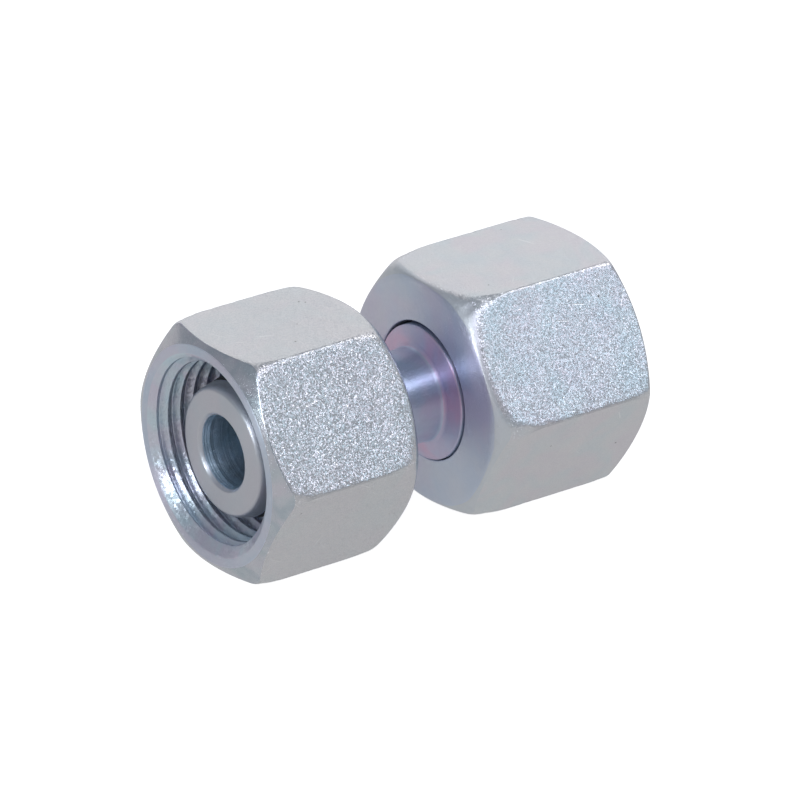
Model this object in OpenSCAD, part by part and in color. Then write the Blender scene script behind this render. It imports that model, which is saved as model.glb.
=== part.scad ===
// Straight swivel tube coupling: one turned body with a 24 degree cone nose at each end,
// and a hexagon union nut held on each end by a round wire.
// Millimetres. X runs along the bore, +Z is up. The origin is the middle of the body on the bore axis.
// The coupling lies on a flat of each nut, near end at -X.

/* [Nuts] */

// Width across the flats of both nuts
nut_flats = 24; // [22:0.1:27]
// Length of the near nut
near_nut_len = 17.3; // [16:0.1:20]
// Length of the far nut
far_nut_len = 19.6; // [17:0.1:22]
// Outside diameter of the flat ring round the threaded mouth
mouth_face_d = 22.7; // [22.2:0.1:23.6]
// Outside diameter of the flat ring on the back of a nut
back_face_d = 23.1; // [22.2:0.1:23.6]
// Angle between the corner chamfer and the end face
corner_angle = 30; // [20:1:40]
// Crest diameter of the internal thread
thread_crest_d = 18.6; // [18.4:0.02:18.7]
// Mouth diameter of the lead-in chamfer
lead_in_d = 20.9; // [20.2:0.1:21.4]
// Depth of the lead-in chamfer
lead_in_depth = 0.8; // [0.5:0.05:1.2]
// Length of the relief behind the thread
relief_len = 2; // [1:0.1:3]
// Diameter of the relief behind the thread
relief_d = 20.4; // [20.1:0.1:21]
// Thickness of the back wall that the body passes through
back_wall = 6; // [5:0.1:7]
// Height of the nuts above the body axis, because the body hangs low in them
nut_lift = 0.13; // [0:0.01:0.15]

/* [Body] */

// Bore diameter
bore_d = 7.6; // [6.5:0.1:8]
// Chamfer at both ends of the bore
bore_chamfer = 0.3; // [0.1:0.05:0.5]
// Diameter of the collars
collar_d = 14; // [13.6:0.05:14.1]
// How far the edge of a nose face lies inside the collar's radius
nose_inset = 0.45; // [0.35:0.01:0.7]
// Edge break between the nose face and the cone
nose_edge = 0.12; // [0.05:0.01:0.2]
// Half angle of the nose cone
cone_half_angle = 12; // [11:0.5:13]
// How far each nose face lies inside its nut
nose_recess = 1.8; // [1:0.1:3]
// Neck diameter
neck_d = 9.7; // [9.2:0.1:11]
// Fillet between the neck and a shoulder
neck_fillet = 0.6; // [0.3:0.05:0.9]
// How far a shoulder slopes from its rim towards the neck
shoulder_slope = 0.4; // [0.2:0.05:0.6]
// How far a shoulder stands out of the back of its nut
shoulder_out = 0.25; // [0.1:0.05:0.6]
// Edge break at a shoulder's rim
rim_edge = 0.15; // [0.05:0.05:0.3]
// Length of the gap between the two nuts
nut_gap = 8.8; // [7:0.1:12]

/* [O-rings] */

// Section diameter of an O-ring
o_ring_section = 1.5; // [1.3:0.1:1.6]
// Depth of an O-ring groove below the collar
o_ring_groove_depth = 1.27; // [1.15:0.01:1.4]
// Land between a nose cone and the O-ring groove
o_ring_land = 0.05; // [0.02:0.01:0.5]
// Width of an O-ring groove
o_ring_groove_w = 2; // [1.8:0.1:2.4]

/* [Retaining wires] */

// Diameter of a retaining wire
wire_d = 1.3; // [1:0.05:1.5]
// Distance from the back of a nut to the middle of its wire
wire_setback = 3.2; // [2.5:0.1:3.6]
// Angle that a wire leaves open
wire_opening = 24; // [15:1:40]
// Diameter of the hole that the wire is fed through
feed_hole_d = 1.8; // [1.7:0.1:2]
// Lean of the feed hole from square to its flat
feed_lean = 35; // [25:1:40]

/* [Clearances] */

// Radial clearance between a collar and the hole in its nut
collar_clearance = 0.25; // [0.2:0.01:0.35]
// Radial clearance between a wire and its groove in the body
wire_clearance = 0.05; // [0.02:0.01:0.08]
// Radial clearance between a wire and its groove in the nut, past the lift of the nut
nut_groove_clearance = 0.06; // [0.02:0.01:0.1]
// Radial clearance between an O-ring and the floor of its groove
o_ring_clearance = 0.02; // [0.01:0.01:0.05]

/* [Hidden] */

$fn = 96;
cut = 1;
sides = 6;
half_sector = 180 / sides;
// Turn from the bottom flat to the hidden flat that a wire is fed through
feed_flat = 360 / sides;
hole_d = collar_d + 2 * collar_clearance;
half_len = (near_nut_len + nut_gap + far_nut_len) / 2;
near_back = near_nut_len - half_len;
far_back = half_len - far_nut_len;
nose_x = half_len - nose_recess;
near_shoulder = near_back + shoulder_out;
far_shoulder = far_back - shoulder_out;
nose_face_r = collar_d / 2 - nose_inset;
cone_len = (nose_inset - nose_edge) / tan(cone_half_angle);
groove_floor_r = collar_d / 2 - o_ring_groove_depth;
o_ring_circle_r = groove_floor_r + o_ring_clearance + o_ring_section / 2;
o_ring_setback = nose_edge + cone_len + o_ring_land;
wire_circle_r = (collar_d + hole_d) / 4;
steel = [0.66, 0.68, 0.72];
plated = [0.74, 0.76, 0.79];
black = [0.06, 0.06, 0.06];

// Turns a profile drawn as (radius, distance along the bore) so that its axis is X
module along_x() {
    rotate([0, 90, 0]) children();
}

// Half a body from the middle of the neck to a nose, with its shoulder at s
module half_body_profile(s) {
    neck_r = neck_d / 2;
    collar_r = collar_d / 2;
    difference() {
        polygon([
            [0, 0], [neck_r, 0],
            [neck_r, s - shoulder_slope - neck_fillet],
            [neck_r + neck_fillet, s - shoulder_slope],
            [collar_r - rim_edge, s], [collar_r, s + rim_edge],
            [collar_r, nose_x - nose_edge - cone_len],
            [nose_face_r + nose_edge, nose_x - nose_edge],
            [nose_face_r, nose_x], [0, nose_x]
        ]);
        translate([groove_floor_r, nose_x - o_ring_setback - o_ring_groove_w])
            square([collar_r, o_ring_groove_w]);
    }
    difference() {
        translate([neck_r, s - shoulder_slope - neck_fillet]) square(neck_fillet);
        translate([neck_r + neck_fillet, s - shoulder_slope - neck_fillet]) circle(neck_fillet);
    }
}

module half_body(s, back) {
    difference() {
        rotate_extrude() half_body_profile(s);
        rotate_extrude()
            translate([wire_circle_r, back + wire_setback]) circle(wire_d / 2 + wire_clearance);
    }
}

module body() {
    color(steel) along_x() difference() {
        union() {
            half_body(far_shoulder, far_back);
            mirror([0, 0, 1]) half_body(-near_shoulder, -near_back);
        }
        translate([0, 0, -nose_x - cut]) cylinder(d = bore_d, h = 2 * (nose_x + cut));
        for (end = [0, 1]) mirror([0, 0, end])
            translate([0, 0, nose_x - bore_chamfer])
                cylinder(d1 = bore_d, d2 = bore_d + 2 * (bore_chamfer + cut), h = bore_chamfer + cut);
    }
}

// Everything inside the two corner chamfers of a nut of length len
module chamfer_limits(len) {
    reach = nut_flats / sides;
    rise = reach * tan(corner_angle);
    rotate_extrude() polygon([
        [0, 0], [mouth_face_d / 2, 0], [mouth_face_d / 2 + reach, rise],
        [back_face_d / 2 + reach, len - rise], [back_face_d / 2, len], [0, len]
    ]);
}

// The hollow of a nut, with the threaded mouth at 0
module nut_hollow(len) {
    wall = len - back_wall;
    rotate_extrude() polygon([
        [0, -cut],
        [lead_in_d / 2 + cut * (lead_in_d - thread_crest_d) / 2 / lead_in_depth, -cut],
        [thread_crest_d / 2, lead_in_depth], [thread_crest_d / 2, wall - relief_len],
        [relief_d / 2, wall - relief_len], [relief_d / 2, wall],
        [hole_d / 2, wall], [hole_d / 2, len + cut], [0, len + cut]
    ]);
    rotate_extrude() translate([wire_circle_r, len - wire_setback])
        circle(wire_d / 2 + nut_lift + nut_groove_clearance);
}

// A nut of length len with its threaded mouth at 0; feed is the way to its wire hole's flat
module nut(len, feed) {
    difference() {
        intersection() {
            rotate([0, 0, half_sector])
                cylinder(d = nut_flats / cos(half_sector), h = len, $fn = sides);
            chamfer_limits(len);
        }
        nut_hollow(len);
        translate([0, 0, len - wire_setback]) rotate([0, 0, feed - feed_lean])
            translate([0, wire_circle_r, 0]) rotate([0, 90, 0])
                cylinder(d = feed_hole_d, h = nut_flats);
    }
}

// A wire ring round the axis, open just past the end of its nut's feed hole
module wire(len, feed) {
    translate([0, 0, len - wire_setback]) rotate([0, 0, 90 + feed - feed_lean])
        rotate_extrude(angle = 360 - wire_opening)
            translate([wire_circle_r, 0]) circle(d = wire_d);
}

module at_near_end() {
    translate([-half_len, 0, 0]) along_x() children();
}

module at_far_end() {
    translate([half_len, 0, 0]) rotate([0, 0, 180]) along_x() children();
}

module near_nut() {
    color(plated) translate([0, 0, nut_lift]) at_near_end() nut(near_nut_len, feed_flat);
}

module far_nut() {
    color(plated) translate([0, 0, nut_lift]) at_far_end() nut(far_nut_len, -feed_flat);
}

module o_ring(x) {
    translate([x, 0, 0]) along_x() rotate_extrude()
        translate([o_ring_circle_r, 0]) circle(d = o_ring_section);
}

module near_o_ring() {
    color(black) o_ring(-nose_x + o_ring_setback + o_ring_groove_w / 2);
}

module far_o_ring() {
    color(black) o_ring(nose_x - o_ring_setback - o_ring_groove_w / 2);
}

module near_retaining_wire() {
    color(steel) at_near_end() wire(near_nut_len, feed_flat);
}

module far_retaining_wire() {
    color(steel) at_far_end() wire(far_nut_len, -feed_flat);
}

body();
near_nut();
far_nut();
near_o_ring();
far_o_ring();
near_retaining_wire();
far_retaining_wire();
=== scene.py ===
# Straight swivel tube coupling: looks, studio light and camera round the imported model
import math

import bmesh
import bpy
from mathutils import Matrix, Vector, noise


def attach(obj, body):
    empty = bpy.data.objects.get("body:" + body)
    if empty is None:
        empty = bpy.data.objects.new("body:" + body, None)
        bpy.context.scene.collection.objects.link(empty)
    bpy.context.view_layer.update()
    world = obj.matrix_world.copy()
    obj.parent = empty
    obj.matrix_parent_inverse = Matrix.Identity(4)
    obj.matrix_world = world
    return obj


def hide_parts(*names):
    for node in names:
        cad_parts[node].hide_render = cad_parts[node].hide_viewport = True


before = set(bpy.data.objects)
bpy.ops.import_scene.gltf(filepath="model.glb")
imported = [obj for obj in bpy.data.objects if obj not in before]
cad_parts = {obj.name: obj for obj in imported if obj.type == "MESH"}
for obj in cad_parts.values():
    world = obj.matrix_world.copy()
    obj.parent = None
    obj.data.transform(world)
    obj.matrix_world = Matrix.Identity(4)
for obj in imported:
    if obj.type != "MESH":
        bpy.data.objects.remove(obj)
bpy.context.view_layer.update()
mm = 0.001


def addNode(tree, kind, inputs=None, **settings):
    node = tree.nodes.new(kind)
    for key, value in settings.items():
        setattr(node, key, value)
    for key, value in (inputs or {}).items():
        if isinstance(value, bpy.types.NodeSocket):
            tree.links.new(value, node.inputs[key])
        else:
            node.inputs[key].default_value = value
    return node


def combine(tree, operation, a, b=0.0):
    return addNode(tree, "ShaderNodeMath", {0: a, 1: b}, operation=operation).outputs[0]


def multiply(tree, a, b):
    return combine(tree, "MULTIPLY", a, b)


def vectorMath(tree, operation, *values):
    return addNode(tree, "ShaderNodeVectorMath", dict(enumerate(values)), operation=operation).outputs


def mapRange(tree, value, low, high, toLow=0.0, toHigh=1.0):
    inputs = {0: value, 1: low, 2: high, 3: toLow, 4: toHigh}
    return addNode(tree, "ShaderNodeMapRange", inputs, interpolation_type="SMOOTHSTEP").outputs[0]


def mixColour(tree, factor, a, b):
    return addNode(tree, "ShaderNodeMix", {0: factor, 6: a, 7: b}, data_type="RGBA").outputs[2]


def noiseField(tree, where, scale, detail, distortion=0.0):
    inputs = {"Vector": where, "Scale": scale, "Detail": detail, "Distortion": distortion}
    return addNode(tree, "ShaderNodeTexNoise", inputs).outputs[0]


def leaningCells(tree, where, scale):
    # random cells: the cell node, the way from a cell's middle, and the way each cell leans
    cell = addNode(tree, "ShaderNodeTexVoronoi", {"Vector": where, "Scale": scale})
    offset = vectorMath(tree, "SUBTRACT", where, cell.outputs["Position"])[0]
    lean = vectorMath(tree, "SUBTRACT", cell.outputs["Color"], (0.5, 0.5, 0.5))[0]
    return cell, offset, lean


def chosenCells(tree, cell, share):
    # 1 in a random share of the cells and 0 in the others
    pick = addNode(tree, "ShaderNodeTexWhiteNoise", {"Vector": cell.outputs["Color"]}).outputs[0]
    return combine(tree, "LESS_THAN", pick, share)


def newGroup(name, inputs, outputs):
    # inputs and outputs are lists of (name, socket kind, starting value)
    tree = bpy.data.node_groups.new(name, "ShaderNodeTree")
    for label, kind, start in inputs:
        socket = tree.interface.new_socket(label, in_out="INPUT", socket_type=kind)
        if start is not None:
            socket.default_value = start
    for label, kind in outputs:
        tree.interface.new_socket(label, in_out="OUTPUT", socket_type=kind)
    return tree, tree.nodes.new("NodeGroupInput").outputs, tree.nodes.new("NodeGroupOutput").inputs


def placeGroup(tree, group, inputs):
    return addNode(tree, "ShaderNodeGroup", inputs, node_tree=group).outputs


floatSocket, colourSocket, vectorSocket = "NodeSocketFloat", "NodeSocketColor", "NodeSocketVector"
grainUser = {"fineDetail": 1.0, "fineDepth": 0.00002}
turnUser = {"slant": 0.83, "detail": 2.0}
filmUser = {"detail": 2.0, "swirl": 0.6, "hueSplit": (0.38, 0.62), "fadeScale": 2.3,
            "fadeRange": (0.3, 0.7, 0.5, 1.0)}
handlingUser = {"scratchCells": 330.0, "scratchWidth": (0.00003, 0.00008), "scratchReach": (0.2, 0.42),
                "pitCells": 700.0, "pitSize": (0.05, 0.1)}


def makePlateGrain():
    # the frosty grain of zinc on a drawn face: small flat facets, each leaning its own way
    tree, source, out = newGroup("plateGrain",
                                 [("Vector", vectorSocket, None), ("Scale", floatSocket, 4000.0)],
                                 [("Height", floatSocket), ("Frost", floatSocket)])
    cell, offset, lean = leaningCells(tree, source["Vector"], source["Scale"])
    facet = vectorMath(tree, "DOT_PRODUCT", offset, lean)["Value"]
    fine = noiseField(tree, source["Vector"], source["Scale"], grainUser["fineDetail"])
    height = combine(tree, "ADD", facet, multiply(tree, fine, grainUser["fineDepth"]))
    frost = addNode(tree, "ShaderNodeSeparateXYZ", {0: cell.outputs["Color"]}).outputs[0]
    tree.links.new(height, out["Height"])
    tree.links.new(frost, out["Frost"])
    return tree


def makeTurnMarks():
    # rings left by the turning tool, round the X axis, at a height Lift above it
    tree, source, out = newGroup("turnMarks",
                                 [("Vector", vectorSocket, None), ("Lift", floatSocket, 0.0),
                                  ("Feed", floatSocket, 9000.0)],
                                 [("Height", floatSocket)])
    x, y, z = addNode(tree, "ShaderNodeSeparateXYZ", {0: source["Vector"]}).outputs
    z = combine(tree, "SUBTRACT", z, source["Lift"])
    radius = combine(tree, "SQRT", combine(tree, "ADD", multiply(tree, y, y), multiply(tree, z, z)))
    along = combine(tree, "ADD", x, multiply(tree, radius, turnUser["slant"]))
    inputs = {"W": along, "Scale": source["Feed"], "Detail": turnUser["detail"]}
    marks = addNode(tree, "ShaderNodeTexNoise", inputs, noise_dimensions="1D").outputs[0]
    tree.links.new(marks, out["Height"])
    return tree


def makePassivation():
    # the thin blue, violet and pink film that passivation leaves on zinc
    tree, source, out = newGroup("passivation",
                                 [("Vector", vectorSocket, None),
                                  ("Plain", colourSocket, (0.8, 0.8, 0.82, 1)),
                                  ("Cold", colourSocket, (0.6, 0.68, 0.8, 1)),
                                  ("Warm", colourSocket, (0.75, 0.62, 0.75, 1)),
                                  ("Amount", floatSocket, 0.5), ("Scale", floatSocket, 160.0)],
                                 [("Color", colourSocket)])
    detail = filmUser["detail"]
    patches = noiseField(tree, source["Vector"], source["Scale"], detail, filmUser["swirl"])
    hue = mixColour(tree, mapRange(tree, patches, *filmUser["hueSplit"]), source["Cold"], source["Warm"])
    fadeScale = multiply(tree, source["Scale"], filmUser["fadeScale"])
    fade = mapRange(tree, noiseField(tree, source["Vector"], fadeScale, detail), *filmUser["fadeRange"])
    amount = multiply(tree, fade, source["Amount"])
    tree.links.new(mixColour(tree, amount, source["Plain"], hue), out["Color"])
    return tree


def makeHandling():
    # short scratches and small pits from handling
    tree, source, out = newGroup("handling",
                                 [("Vector", vectorSocket, None), ("Scratches", floatSocket, 0.4),
                                  ("Pits", floatSocket, 0.3)],
                                 [("Scratch", floatSocket), ("Pit", floatSocket)])
    cell, offset, lean = leaningCells(tree, source["Vector"], handlingUser["scratchCells"])
    lean = vectorMath(tree, "NORMALIZE", lean)[0]
    aside = combine(tree, "ABSOLUTE", vectorMath(tree, "DOT_PRODUCT", offset, lean)["Value"])
    line = mapRange(tree, aside, *handlingUser["scratchWidth"], 1.0, 0.0)
    line = multiply(tree, line, chosenCells(tree, cell, source["Scratches"]))
    reach = mapRange(tree, cell.outputs["Distance"], *handlingUser["scratchReach"], 1.0, 0.0)
    tree.links.new(multiply(tree, line, reach), out["Scratch"])
    inputs = {"Vector": source["Vector"], "Scale": handlingUser["pitCells"]}
    dot = addNode(tree, "ShaderNodeTexVoronoi", inputs)
    pit = mapRange(tree, dot.outputs["Distance"], *handlingUser["pitSize"], 1.0, 0.0)
    tree.links.new(multiply(tree, pit, chosenCells(tree, dot, source["Pits"])), out["Pit"])
    return tree


plateGrain, turnMarks = makePlateGrain(), makeTurnMarks()
passivation, handling = makePassivation(), makeHandling()


def newMaterial(name):
    material = bpy.data.materials.new(name)
    material.use_nodes = True
    tree = material.node_tree
    tree.nodes.clear()
    output = tree.nodes.new("ShaderNodeOutputMaterial")
    shader = tree.nodes.new("ShaderNodeBsdfPrincipled")
    tree.links.new(shader.outputs[0], output.inputs[0])
    where = tree.nodes.new("ShaderNodeTexCoord").outputs["Object"]
    return material, tree, shader, where


def placeFilm(tree, where, user):
    return placeGroup(tree, passivation, {"Vector": where, "Plain": user["plain"], "Cold": user["cold"],
                                          "Warm": user["warm"], "Amount": user["film"],
                                          "Scale": user["patch"]})["Color"]


def setSurface(tree, shader, colour, roughness, height):
    bump = addNode(tree, "ShaderNodeBump", {"Height": height, "Strength": 1.0, "Distance": 1.0})
    tree.links.new(colour, shader.inputs["Base Color"])
    tree.links.new(roughness, shader.inputs["Roughness"])
    tree.links.new(bump.outputs[0], shader.inputs["Normal"])


def setMetal(tree, shader, colour, frost, rough, height):
    # frosty grains are up to frostRough rougher than the others
    frostRough = 0.06
    shader.inputs["Metallic"].default_value = 1.0
    setSurface(tree, shader, colour, mapRange(tree, frost, 0.0, 1.0, rough, rough + frostRough), height)


def makeFlatsFinish(name, user):
    # wrench flats: grainy zinc with a few scratches and pits, the scratches painted lighter as partly bare
    # zinc and partly a painted glint, darker grain speckle that is partly painted shade, and painted shade in
    # broken lines along the corner edges
    material, tree, shader, where = newMaterial(name)
    grain = placeGroup(tree, plateGrain, {"Vector": where, "Scale": user["grain"]})
    worn = placeGroup(tree, handling, {"Vector": where, "Scratches": user["scratches"], "Pits": user["pits"]})
    speckle = mapRange(tree, grain["Frost"], 0.0, 1.0, 0.0, user["speckle"])
    # painted shade: a dark line along the hexagon's corner edges, taken from the mesh's edge attribute and
    # broken up by noise
    nearEdge = addNode(tree, "ShaderNodeAttribute", attribute_name="edge").outputs["Fac"]
    brokenEdgeShade = mapRange(tree, noiseField(tree, where, user["edgeShadeBreakScale"], 2.0), *user["edgeShadeBreakRange"])
    edge = multiply(tree, mapRange(tree, nearEdge, *user["paintedEdgeShadeReach"]), brokenEdgeShade)
    colour = placeFilm(tree, where, user)
    # over the film go grain speckle (random tone, and partly painted shade), pits, scratches (partly a
    # painted glint) and the painted edge shade
    for amount, tone in ((speckle, "speckleAndShadeTone"),
                         (multiply(tree, worn["Pit"], user["pitFill"]), "pitTone"),
                         (multiply(tree, worn["Scratch"], user["scratchAndGlintFill"]), "scratchAndGlintTone"),
                         (multiply(tree, edge, user["paintedEdgeShadeFill"]), "paintedEdgeShadeTone")):
        colour = mixColour(tree, amount, colour, user[tone])
    height = multiply(tree, grain["Height"], user["lean"])
    for mark, depth in ((worn["Pit"], user["pitDepth"]), (worn["Scratch"], user["scratchDepth"])):
        height = combine(tree, "SUBTRACT", height, multiply(tree, mark, depth))
    setMetal(tree, shader, colour, grain["Frost"], user["rough"], height)
    return material


def makeTurnedFinish(name, user):
    # turned and plated: tool rings under a tinted film, which spread a reflection across the rings
    material, tree, shader, where = newMaterial(name)
    shader.inputs["Anisotropic"].default_value = user["spread"]
    shader.inputs["Anisotropic Rotation"].default_value = 0.25
    around = addNode(tree, "ShaderNodeTangent", direction_type="RADIAL", axis="X")
    tree.links.new(around.outputs[0], shader.inputs["Tangent"])
    rings = placeGroup(tree, turnMarks, {"Vector": where, "Lift": user["lift"], "Feed": user["feed"]})
    grain = placeGroup(tree, plateGrain, {"Vector": where, "Scale": user["grain"]})
    height = combine(tree, "ADD", multiply(tree, rings["Height"], user["ringDepth"]),
                     multiply(tree, grain["Height"], user["lean"]))
    setMetal(tree, shader, placeFilm(tree, where, user), grain["Frost"], user["rough"], height)
    return material


rubberUser = {"scale": 3000.0, "detail": 3.0, "depth": 0.00002, "roughRange": (0.2, 0.8, 0.38, 0.6),
              "dark": (0.012, 0.012, 0.013, 1), "pale": (0.03, 0.03, 0.032, 1)}


def makeRubberFinish():
    material, tree, shader, where = newMaterial("blackRubber")
    speckle = noiseField(tree, where, rubberUser["scale"], rubberUser["detail"])
    colour = mixColour(tree, speckle, rubberUser["dark"], rubberUser["pale"])
    roughness = mapRange(tree, speckle, *rubberUser["roughRange"])
    setSurface(tree, shader, colour, roughness, multiply(tree, speckle, rubberUser["depth"]))
    return material


# the nuts sit this far above the body's axis
nutLift = 0.13 * mm

flatsUser = {
    "grain": 8400.0, "lean": 0.26, "rough": 0.28, "film": 0.4, "patch": 170.0, "scratches": 0.3, "pits": 0.1,
    "plain": (0.80, 0.80, 0.81, 1), "cold": (0.70, 0.76, 0.80, 1), "warm": (0.77, 0.74, 0.79, 1),
    "speckle": 0.06, "speckleAndShadeTone": (0.44, 0.5, 0.55, 1),
    "pitFill": 0.7, "pitTone": (0.2, 0.2, 0.2, 1), "pitDepth": 0.00003,
    # scratches mix towards near white: partly bare zinc, partly a painted glint
    "scratchAndGlintFill": 0.5, "scratchAndGlintTone": (0.95, 0.96, 0.97, 1), "scratchDepth": 0.000014,
    # painted shade along the corner edges: how much, its dark tone, how near the edge it reaches, and the
    # noise that breaks it
    "paintedEdgeShadeFill": 0.3, "paintedEdgeShadeTone": (0.3, 0.33, 0.36, 1), "paintedEdgeShadeReach": (0.25, 0.9),
    "edgeShadeBreakScale": 1500.0, "edgeShadeBreakRange": (0.3, 0.5, 0.3, 1.0),
}
# the near nut's flats take heavier dark grain speckle than the far nut's: painted shade that darkens them and
# gives them the contrast of sparkle
nearFlatsUser = dict(flatsUser, lean=0.38, speckle=0.2, scratches=0.5)
farFlatsUser = dict(flatsUser, film=0.8)
turnedUser = {
    "lift": nutLift, "feed": 7000.0, "grain": 3600.0, "ringDepth": 0.000006, "lean": 0.06,
    "rough": 0.38, "spread": 0.8, "film": 0.6, "patch": 110.0,
    "plain": (0.73, 0.76, 0.83, 1), "cold": (0.59, 0.70, 0.86, 1), "warm": (0.70, 0.65, 0.82, 1),
}
farChamferUser = dict(
    turnedUser, spread=0.3, ringDepth=0.000004, rough=0.4, lean=0.05, film=0.4,
    plain=(0.74, 0.76, 0.79, 1), cold=(0.62, 0.70, 0.77, 1), warm=(0.72, 0.70, 0.76, 1))
nearChamferUser = dict(
    farChamferUser, rough=0.2, lean=0.03, film=0.9, patch=260.0,
    plain=(0.70, 0.74, 0.78, 1), cold=(0.50, 0.57, 0.63, 1), warm=(0.68, 0.66, 0.73, 1))
threadUser = dict(
    turnedUser, feed=9000.0, ringDepth=0.000003, lean=0.14, rough=0.34, spread=0.5, film=0.7, patch=240.0,
    plain=(0.74, 0.80, 0.86, 1), cold=(0.6, 0.76, 0.86, 1), warm=(0.72, 0.66, 0.8, 1))
bodyUser = dict(
    turnedUser, lift=0.0, feed=8000.0, lean=0.03, spread=0.85, film=0.8, patch=170.0,
    plain=(0.60, 0.67, 0.79, 1), cold=(0.48, 0.58, 0.77, 1), warm=(0.64, 0.58, 0.76, 1))
shoulderUser = dict(
    bodyUser, plain=(0.68, 0.57, 0.74, 1), cold=(0.56, 0.64, 0.82, 1), warm=(0.78, 0.55, 0.73, 1))
noseUser = dict(
    bodyUser, ringDepth=0.000004, rough=0.37, spread=0.5, film=0.35,
    plain=(0.63, 0.65, 0.70, 1), cold=(0.56, 0.63, 0.70, 1), warm=(0.66, 0.62, 0.69, 1))
boreUser = dict(
    bodyUser, feed=1700.0, ringDepth=0.00005, rough=0.3, spread=0.5, film=0.5,
    plain=(0.70, 0.82, 0.92, 1), cold=(0.62, 0.80, 0.90, 1), warm=(0.72, 0.78, 0.90, 1))
wireUser = dict(bodyUser, rough=0.3, film=0.1, plain=(0.6, 0.6, 0.62, 1))

nearFlats = makeFlatsFinish("zincFlatsNear", nearFlatsUser)
farFlats = makeFlatsFinish("zincFlatsFar", farFlatsUser)
nutTurned = makeTurnedFinish("zincTurned", turnedUser)
nearChamfer = makeTurnedFinish("zincChamferNear", nearChamferUser)
farChamfer = makeTurnedFinish("zincChamferFar", farChamferUser)
nutThread = makeTurnedFinish("zincThread", threadUser)
bodyTurned = makeTurnedFinish("zincBody", bodyUser)
shoulderTurned = makeTurnedFinish("zincShoulder", shoulderUser)
noseFace = makeTurnedFinish("zincNoseFace", noseUser)
boreFinish = makeTurnedFinish("zincBore", boreUser)
wireFinish = makeTurnedFinish("drawnWire", wireUser)
blackRubber = makeRubberFinish()
print("finishes made")


def ringMesh(name, columns, finishes, lift, materials, body, nodeName):
    # each column is a closed list of (along X, radius, turn about X from the top, how near an edge)
    # the last column repeats the first
    rows = len(columns[0])
    verts, faces, marks, edges = [], [], [], []
    for column in columns:
        for along, radius, turn, edge in column:
            verts.append((along, radius * math.sin(turn), radius * math.cos(turn) + lift))
            edges.append(edge)
    for c in range(len(columns) - 1):
        for i in range(rows):
            n = (i + 1) % rows
            faces.append((c * rows + i, (c + 1) * rows + i, (c + 1) * rows + n, c * rows + n))
            marks.append(finishes[i])
    mesh = bpy.data.meshes.new(name)
    mesh.from_pydata(verts, [], faces)
    mesh.polygons.foreach_set("material_index", marks)
    # how near an edge each point is; the flats' material paints shade along the corner edges from it
    mesh.attributes.new("edge", "FLOAT", "POINT").data.foreach_set("value", edges)
    for material in materials:
        mesh.materials.append(material)
    bm = bmesh.new()
    bm.from_mesh(mesh)
    bmesh.ops.remove_doubles(bm, verts=bm.verts, dist=0.001 * mm)
    bmesh.ops.recalc_face_normals(bm, faces=bm.faces)
    bm.to_mesh(mesh)
    bm.free()
    mesh.shade_smooth()
    piece = bpy.data.objects.new(name, mesh)
    bpy.context.collection.objects.link(piece)
    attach(piece, body)
    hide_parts(nodeName)
    return piece


# lengths of a nut in mm, radii from its axis; the bends are (at the end face, onto a flat, at a corner)
nutUser = {
    "flats": 24.0, "corner": 0.35, "endReach": 2.8, "angle": 30.0, "mouthFace": 11.35, "backFace": 11.55,
    "mouthBends": (0.08, 0.15, 0.5), "backBends": (0.5, 0.8, 2.0), "leadIn": 10.45, "leadInDepth": 0.8,
    "crest": 9.3, "pitch": 1.5, "threadStart": 0.06, "reliefLength": 2.0, "relief": 10.2, "reliefBend": 0.25,
    "backWall": 6.0, "hole": 7.25, "wireSetback": 3.2, "wireCircle": 7.125, "wireGroove": 0.84,
    "grooveSteps": 8, "feedHole": 0.9, "drillLength": 16.0, "drillSides": 48, "flatSteps": 25,
    "flatCrowding": 0.35, "flatEndEdge": 0.3, "rowLength": 0.42,
    "nick": 0.08, "nickFrom": 0.1, "nickScale": 1.3, "nickRing": 9, "nickAlong": 1.1,
}
# one pitch of thread as (share of the pitch from a crest's middle, radius)
threadShape = [(-0.15, 9.37), (-0.125, 9.33), (-0.1, 9.307), (-0.06, 9.3), (0.0, 9.3), (0.06, 9.3),
               (0.1, 9.307), (0.125, 9.33), (0.15, 9.37), (0.395, 9.935), (0.425, 9.985), (0.46, 10.02),
               (0.5, 10.03), (0.54, 10.02), (0.575, 9.985), (0.605, 9.935)]
# the hexagon's rounded corners are drawn at these degrees off their middles
cornerDegrees = (-22, -13, -4, 4, 13, 22)


def threadRadius(share):
    # radius of the thread at a share of its pitch
    first = threadShape[0][0]
    share = (share - first) % 1.0 + first
    points = threadShape + [(first + 1.0, threadShape[0][1])]
    for (a, ra), (b, rb) in zip(points, points[1:]):
        if share <= b:
            return ra + (rb - ra) * (share - a) / (b - a)
    return points[-1][1]


def hexOutline(rounding):
    # (turn, radius, how near a corner) round a hexagon with rounded corners, flats up and down
    half = nutUser["flats"] / 2
    flatEnd = (half - rounding) * math.tan(math.radians(30))
    centre = (half - rounding) / math.cos(math.radians(30))
    steps, crowding = nutUser["flatSteps"], nutUser["flatCrowding"]
    points = []
    for side in range(6):
        middle = math.radians(60 * side)
        for i in range(steps + 1):
            # points crowd towards both ends of a flat
            even = 2 * i / steps - 1
            t = (math.sin(math.radians(90) * even) * crowding + even * (1 - crowding)) * flatEnd
            edge = nutUser["flatEndEdge"] if i in (0, steps) else 0.0
            points.append((middle + math.atan2(t, half), math.hypot(t, half), edge))
        for degrees in cornerDegrees:
            lean = math.radians(degrees)
            y, z = rounding * math.sin(lean), centre + rounding * math.cos(lean)
            points.append((middle + math.radians(30) + math.atan2(y, z), math.hypot(y, z), 1.0))
    points.append((points[0][0] + 2 * math.pi, points[0][1], points[0][2]))
    return points


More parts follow.
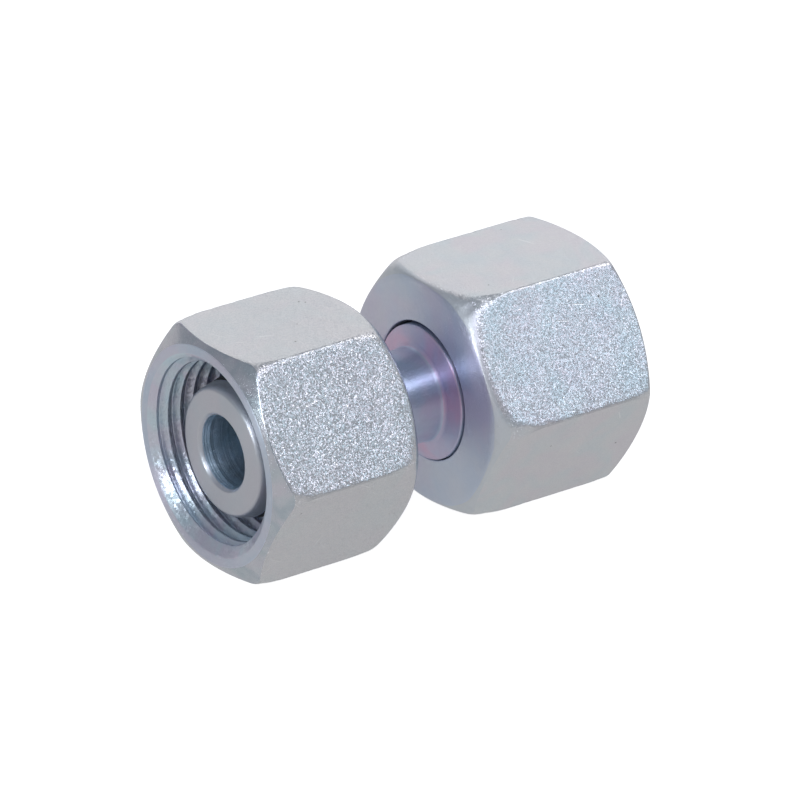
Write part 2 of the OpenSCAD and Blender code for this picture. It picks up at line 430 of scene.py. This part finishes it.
def bend(start, corner, stop, steps):
    # a soft turn at a corner, as points from start to stop
    rows = []
    for i in range(steps + 1):
        t = i / steps
        rows.append(tuple((1 - t) ** 2 * a + 2 * t * (1 - t) * b + t * t * c
                          for a, b, c in zip(start, corner, stop)))
    return rows


# steps of the two bends that chamferRows makes
faceSteps, lipSteps = 5, 8


def chamferRows(turn, radius, face, faceBend, flatBend, cornerBend):
    # from the end face over the corner chamfer onto the flat, as (distance from the end, radius)
    # the bend onto the flat widens from flatBend at the flat's middle to cornerBend at the hexagon's corners
    offCentre = abs((math.degrees(turn) + 30) % 60 - 30) / 30
    lip = flatBend + (cornerBend - flatBend) * offCentre ** 5
    lean = math.radians(nutUser["angle"])
    rise = (radius - face) * math.tan(lean)
    length = math.hypot(rise, radius - face)
    share = min(1.0, length / (faceBend + lip))
    first, second = faceBend * share / length, 1 - lip * share / length
    onChamfer = [(rise * t, face + (radius - face) * t) for t in (first, second)]
    rows = bend((0, face - faceBend), (0, face), onChamfer[0], faceSteps)
    rows += bend(onChamfer[1], (rise, radius), (rise + lip, radius), lipSteps)
    return rows


# places of the finishes in a nut's list of materials
onFlat, onTurned, onThread, onChamfer = range(4)


def nutColumns(length, corners, seed, handed):
    # corners are the radii that round the hexagon's corners at the mouth and at the back
    # handed is +1 where the way in from the mouth runs along -X
    u = nutUser
    wall = length - u["backWall"]
    threadEnd = wall - u["reliefLength"]
    groove = length - u["wireSetback"]
    grooveReach = math.acos((u["hole"] - u["wireCircle"]) / u["wireGroove"])
    flatRows = int(length / u["rowLength"])
    turns = int(threadEnd / u["pitch"]) + 3
    columns = []
    for (turn, radius, corner), atMouth, atBack in zip(hexOutline(u["corner"]), *map(hexOutline, corners)):
        column, finishes = [], []

        def add(along, r, finish, at=turn, edge=0.0):
            column.append((along, r, at, edge))
            finishes.append(finish)

        for along, r in ((0.02, u["leadIn"] + 0.02), (0.0, u["leadIn"] + 0.07), (0.0, u["leadIn"] + 0.25),
                         (0.0, u["mouthFace"] - 0.3)):
            add(along, r, onTurned)
        mouth = chamferRows(atMouth[0], atMouth[1], u["mouthFace"], *u["mouthBends"])
        for (along, r), finish in zip(mouth, [onTurned] * 5 + [onChamfer] * 5 + [onFlat] * 5):
            add(along, r, finish, atMouth[0])
        touch = column[-1][0]
        back = chamferRows(atBack[0], atBack[1], u["backFace"], *u["backBends"])
        backTouch = length - back[-1][0]
        for i in range(1, flatRows):
            along = touch + (backTouch - touch) * i / flatRows
            nearMouth, nearBack = (max(0.0, 1 - abs(along - end) / u["endReach"]) ** 2
                                   for end in (touch, backTouch))
            place = Vector((along * u["nickAlong"], math.sin(turn) * u["nickRing"],
                            math.cos(turn) * u["nickRing"] + seed))
            nick = max(0.0, noise.noise(place * u["nickScale"]) - u["nickFrom"]) * u["nick"] * corner
            add(along, radius + (atMouth[1] - radius) * nearMouth + (atBack[1] - radius) * nearBack - nick,
                onFlat, turn + (atMouth[0] - turn) * nearMouth + (atBack[0] - turn) * nearBack,
                corner * (1 - nearMouth - nearBack))
        for (along, r), finish in zip(reversed(back), [onFlat] * 4 + [onChamfer] * 5 + [onTurned] * 6):
            add(length - along, r, finish, atBack[0])
        for along, r in ((length, u["backFace"] - 1.2), (length, u["hole"] + 1.0), (length, u["hole"] + 0.25),
                         (length, u["hole"] + 0.12), (length - 0.04, u["hole"] + 0.03),
                         (length - 0.12, u["hole"])):
            add(along, r, onTurned)
        for i in range(u["grooveSteps"] + 1):
            a = -grooveReach + 2 * grooveReach * i / u["grooveSteps"]
            add(groove - u["wireGroove"] * math.sin(a), u["wireCircle"] + u["wireGroove"] * math.cos(a),
                onTurned)
        add(wall + 0.1, u["hole"], onTurned)
        add(wall, u["hole"] + 0.1, onTurned)
        add(wall, u["hole"] + 1.4, onTurned)
        add(wall, u["relief"] - u["reliefBend"], onThread)
        add(wall - u["reliefBend"], u["relief"], onThread)
        add(threadEnd, u["relief"], onThread)
        helix = -handed * u["pitch"] * turn / (2 * math.pi)
        for k in range(turns, -2, -1):
            for share, _ in reversed(threadShape):
                along = min(max(u["pitch"] * (k + share) + helix, u["threadStart"]), threadEnd)
                shape = threadRadius((along - helix) / u["pitch"])
                cone = u["leadIn"] - (u["leadIn"] - u["crest"]) * along / u["leadInDepth"]
                add(along, max(shape, cone), onThread)
        columns.append(column)
    return columns, finishes


def drillFeedHole(piece, at, start, way):
    # the hole that the wire is fed through, on the hidden lower flat at the back
    mesh = bpy.data.meshes.new("feedDrill")
    bm = bmesh.new()
    drillLength, radius = nutUser["drillLength"], nutUser["feedHole"] * mm
    bmesh.ops.create_cone(bm, cap_ends=True, segments=nutUser["drillSides"], radius1=radius, radius2=radius,
                          depth=drillLength * mm)
    bm.to_mesh(mesh)
    bm.free()
    drill = bpy.data.objects.new("feedDrill", mesh)
    bpy.context.collection.objects.link(drill)
    way = Vector((0, *way)).normalized()
    drill.rotation_mode = "QUATERNION"
    drill.rotation_quaternion = way.to_track_quat("Z", "Y")
    drill.location = (Vector((at, *start)) + way * (drillLength / 2)) * mm + Vector((0, 0, nutLift))
    cut = piece.modifiers.new("feedHole", "BOOLEAN")
    cut.object, cut.operation, cut.solver = drill, "DIFFERENCE", "EXACT"
    bpy.context.view_layer.update()
    drilled = bpy.data.meshes.new_from_object(piece.evaluated_get(bpy.context.evaluated_depsgraph_get()))
    piece.modifiers.clear()
    piece.data = drilled
    bpy.data.objects.remove(drill)


# mouth is the place on X and inward the way in; feedStart and feedWay are the feed hole's (y, z)
nearNutUser = {"mouth": -22.85, "inward": 1, "length": 17.3, "corners": (1.9, 0.9), "seed": 3.7,
               "feedStart": (6.457, 3.011), "feedWay": (0.423, -0.906)}
farNutUser = {"mouth": 22.85, "inward": -1, "length": 19.6, "corners": (0.9, 1.9), "seed": 21.3,
              "feedStart": (0.621, -7.098), "feedWay": (0.996, 0.087)}


def makeNut(name, node, body, flats, chamfer, user):
    mouth, inward, length = user["mouth"], user["inward"], user["length"]
    columns, finishes = nutColumns(length, user["corners"], user["seed"], -inward)
    placed = [[((mouth + inward * along) * mm, radius * mm, turn, edge)
               for along, radius, turn, edge in column] for column in columns]
    piece = ringMesh(name, placed, finishes, nutLift, [flats, nutTurned, nutThread, chamfer],
                     body, node)
    wirePlace = mouth + inward * (length - nutUser["wireSetback"])
    drillFeedHole(piece, wirePlace, user["feedStart"], user["feedWay"])


makeNut("nearNut", "near_nut", "near_swivel", nearFlats, nearChamfer, nearNutUser)
makeNut("farNut", "far_nut", "far_swivel", farFlats, farChamfer, farNutUser)
print("nuts made")

turnSteps = 192
evenTurns = [2 * math.pi * i / turnSteps for i in range(turnSteps + 1)]

# lengths of the body in mm from its middle, radii from its axis
bodyShape = {
    "nose": 21.05, "face": 6.55, "edge": 0.12, "collar": 7.0, "coneLength": 1.5525, "land": 0.05,
    "grooveDepth": 1.27, "grooveWidth": 2.0, "nearShoulder": 5.30, "farShoulder": 3.00, "nearWire": 8.75,
    "farWire": 6.45, "wireCircle": 7.125, "wireGroove": 0.70, "neck": 4.85, "fillet": 0.6, "slope": 0.4,
    "rim": 0.15, "bore": 3.8, "boreChamfer": 0.3,
}
# places of the finishes in the body's list of materials
onBody, onNose, onBore, onShoulder = range(4)


def halfBodyRows(shoulder, wire):
    # from the bore's mouth over the nose and down to the neck, as (distance from the middle, radius, finish)
    # small offsets round each edge soften it
    u = bodyShape
    nose, collar, bore, chamfer = u["nose"], u["collar"], u["bore"], u["boreChamfer"]
    coneEnd = nose - u["edge"] - u["coneLength"]
    grooveStart = coneEnd - u["land"]
    grooveEnd = grooveStart - u["grooveWidth"]
    floorR = collar - u["grooveDepth"]
    rows = [(nose - chamfer - 0.03, bore, onBore), (nose - chamfer + 0.02, bore + 0.02, onNose),
            (nose - 0.03, bore + chamfer - 0.03, onNose), (nose, bore + chamfer + 0.03, onNose),
            (nose, bore + chamfer + 0.25, onNose), (nose, (bore + u["face"]) / 2, onNose)]
    rounded = bend((nose, u["face"] - 0.35), (nose, u["face"] + 0.095), (nose - 0.8, u["face"] + 0.263), 10)
    rows += [(x, r, onNose) for x, r in rounded]
    rows.append((coneEnd + 0.1, collar - 0.021, onNose))
    rows += [(x, r, onBody) for x, r in (
        (coneEnd, collar - 0.004),
        (grooveStart, collar - 0.02), (grooveStart - 0.02, collar - 0.06), (grooveStart - 0.02, floorR + 0.1),
        (grooveStart - 0.12, floorR), (grooveEnd + 0.12, floorR),
        (grooveEnd + 0.02, floorR + 0.1), (grooveEnd + 0.02, collar - 0.06), (grooveEnd - 0.03, collar),
        (grooveEnd - 0.3, collar), (wire + u["wireGroove"] + 0.4, collar))]
    start = math.asin((u["wireCircle"] - collar) / u["wireGroove"])
    for i in range(11):
        a = start + (math.pi - 2 * start) * i / 10
        rows.append((wire + u["wireGroove"] * math.cos(a), u["wireCircle"] - u["wireGroove"] * math.sin(a),
                     onBody))
    rim = collar - u["rim"]
    rows += [(wire - u["wireGroove"] - 0.3, collar, onBody), (shoulder + u["rim"] + 0.1, collar, onBody),
             (shoulder + u["rim"], collar - 0.005, onShoulder), (shoulder + 0.04, collar - 0.06, onShoulder),
             (shoulder, rim, onShoulder)]
    # the shoulder slopes to a fillet and the neck
    top = shoulder - u["slope"]
    inner = u["neck"] + u["fillet"]
    for share in (0.08, 0.35, 0.7, 0.96):
        rows.append((shoulder - u["slope"] * share, rim - (rim - inner) * share, onShoulder))
    for i in range(9):
        a = math.radians(90) * i / 8
        rows.append((top - u["fillet"] * (1 - math.cos(a)), inner - u["fillet"] * math.sin(a),
                     onShoulder if i < 5 else onBody))
    rows.append((top - u["fillet"] - 0.15, u["neck"], onBody))
    return rows


def makeBody():
    far = halfBodyRows(bodyShape["farShoulder"], bodyShape["farWire"])
    near = halfBodyRows(bodyShape["nearShoulder"], bodyShape["nearWire"])
    profile = far + [(-x, r, finish) for x, r, finish in reversed(near)]
    profile += [(x, bodyShape["bore"], onBore) for x in range(-18, 19, 6)]
    columns = [[(x * mm, r * mm, turn, 0.0) for x, r, _ in profile] for turn in evenTurns]
    ringMesh("couplingBody", columns, [finish for _, _, finish in profile], 0.0,
             [bodyTurned, noseFace, boreFinish, shoulderTurned], "core", "body")


makeBody()

oRingUser = {"section": 0.75, "circle": 6.5, "flash": 0.012, "flashFrom": 0.995, "place": 18.3275,
             "steps": 40}


def makeORing(name, node, x):
    # round section with the thin flash line of its mould
    u = oRingUser
    column = []
    for i in range(u["steps"]):
        a = 2 * math.pi * i / u["steps"]
        r = u["section"] - u["flash"] * (abs(math.cos(a)) < u["flashFrom"])
        column.append(((x + r * math.sin(a)) * mm, (u["circle"] + r * math.cos(a)) * mm))
    columns = [[(along, radius, turn, 0.0) for along, radius in column] for turn in evenTurns]
    ringMesh(name, columns, [0] * u["steps"], 0.0, [blackRubber], "core", node)


makeORing("nearORing", "near_o_ring", -oRingUser["place"])
makeORing("farORing", "far_o_ring", oRingUser["place"])

for node in ("near_retaining_wire", "far_retaining_wire"):
    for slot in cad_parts[node].material_slots:
        slot.material = wireFinish
print("body, O-rings and wires made")


# the floor is near white to the camera and an even grey in the part's reflections
stageUser = {"floorForCamera": 0.5, "floorInLight": 0.08, "glowForCamera": 0.85, "glowInLight": 0.48,
             "floorSize": 3.0, "world": (0.29, 0.31, 0.34), "below": -0.01187}


def makeFloor():
    mesh = bpy.data.meshes.new("paleFloor")
    s, z = stageUser["floorSize"], stageUser["below"]
    mesh.from_pydata([(-s, -s, z), (s, -s, z), (s, s, z), (-s, s, z)], [], [(0, 1, 2, 3)])
    floor = bpy.data.objects.new("paleFloor", mesh)
    bpy.context.collection.objects.link(floor)
    material, tree, shader, _ = newMaterial("paleFloor")
    seen = tree.nodes.new("ShaderNodeLightPath").outputs["Is Camera Ray"]
    for socket, inLight, forCamera in (("Base Color", "floorInLight", "floorForCamera"),
                                       ("Emission Color", "glowInLight", "glowForCamera")):
        a, b = stageUser[inLight], stageUser[forCamera]
        tree.links.new(mixColour(tree, seen, (a, a, a, 1), (b, b, b, 1)), shader.inputs[socket])
    shader.inputs["Emission Strength"].default_value = 1.0
    shader.inputs["Roughness"].default_value = 1.0
    shader.inputs["Specular IOR Level"].default_value = 0.0
    mesh.materials.append(material)


# direction from the part, distance, width and height in metres, brightness, colour
lights = {
    "backPanel": ((0.523, 0.737, 0.45), 1.2, 2.0, 1.3, 0.54, (1.0, 0.97, 0.95)),
    "overhead": ((0.64, -0.24, 0.78), 1.2, 0.5, 0.34, 3.6, (1.0, 0.99, 1.0)),
    "frontStrip": ((-0.10, -0.59, 0.81), 1.0, 1.7, 0.30, 2.5, (0.86, 0.86, 1.0)),
    "frontKey": ((0.602, -0.687, 0.407), 0.137, 0.026, 0.026, 2.5, (0.58, 0.80, 0.94)),
    "left": ((-0.935, -0.14, 0.325), 1.0, 0.25, 0.24, 10.5, (0.90, 0.97, 1.0)),
}


def makeLights():
    for name, (towards, distance, width, height, brightness, colour) in lights.items():
        data = bpy.data.lights.new(name, "AREA")
        data.shape = "RECTANGLE"
        data.size, data.size_y = width, height
        data.energy = brightness * math.pi * width * height
        data.color = colour
        lamp = bpy.data.objects.new(name, data)
        bpy.context.collection.objects.link(lamp)
        direction = Vector(towards).normalized()
        lamp.location = direction * distance
        lamp.rotation_mode = "QUATERNION"
        lamp.rotation_quaternion = direction.to_track_quat("Z", "Y")
    world = bpy.data.worlds.new("studio")
    bpy.context.scene.world = world
    world.use_nodes = True
    world.node_tree.nodes["Background"].inputs[0].default_value = (*stageUser["world"], 1)
    world.node_tree.nodes["Background"].inputs[1].default_value = 1.0


cameraUser = {"aim": (-0.00541, -0.00837, 0.00470), "back": (-0.523, -0.7365, 0.4288), "distance": 0.879,
              "lens": 401.7, "sensor": 36.0, "clip": (0.01, 20.0)}


def makeCamera():
    data = bpy.data.cameras.new("photoCamera")
    data.lens, data.sensor_width = cameraUser["lens"], cameraUser["sensor"]
    data.clip_start, data.clip_end = cameraUser["clip"]
    camera = bpy.data.objects.new("photoCamera", data)
    bpy.context.collection.objects.link(camera)
    back = Vector(cameraUser["back"]).normalized()
    camera.location = Vector(cameraUser["aim"]) + back * cameraUser["distance"]
    camera.rotation_mode = "QUATERNION"
    camera.rotation_quaternion = back.to_track_quat("Z", "Y")
    bpy.context.scene.camera = camera


makeFloor()
makeLights()
makeCamera()
bpy.context.scene.view_settings.view_transform = "Standard"
print("stage made")
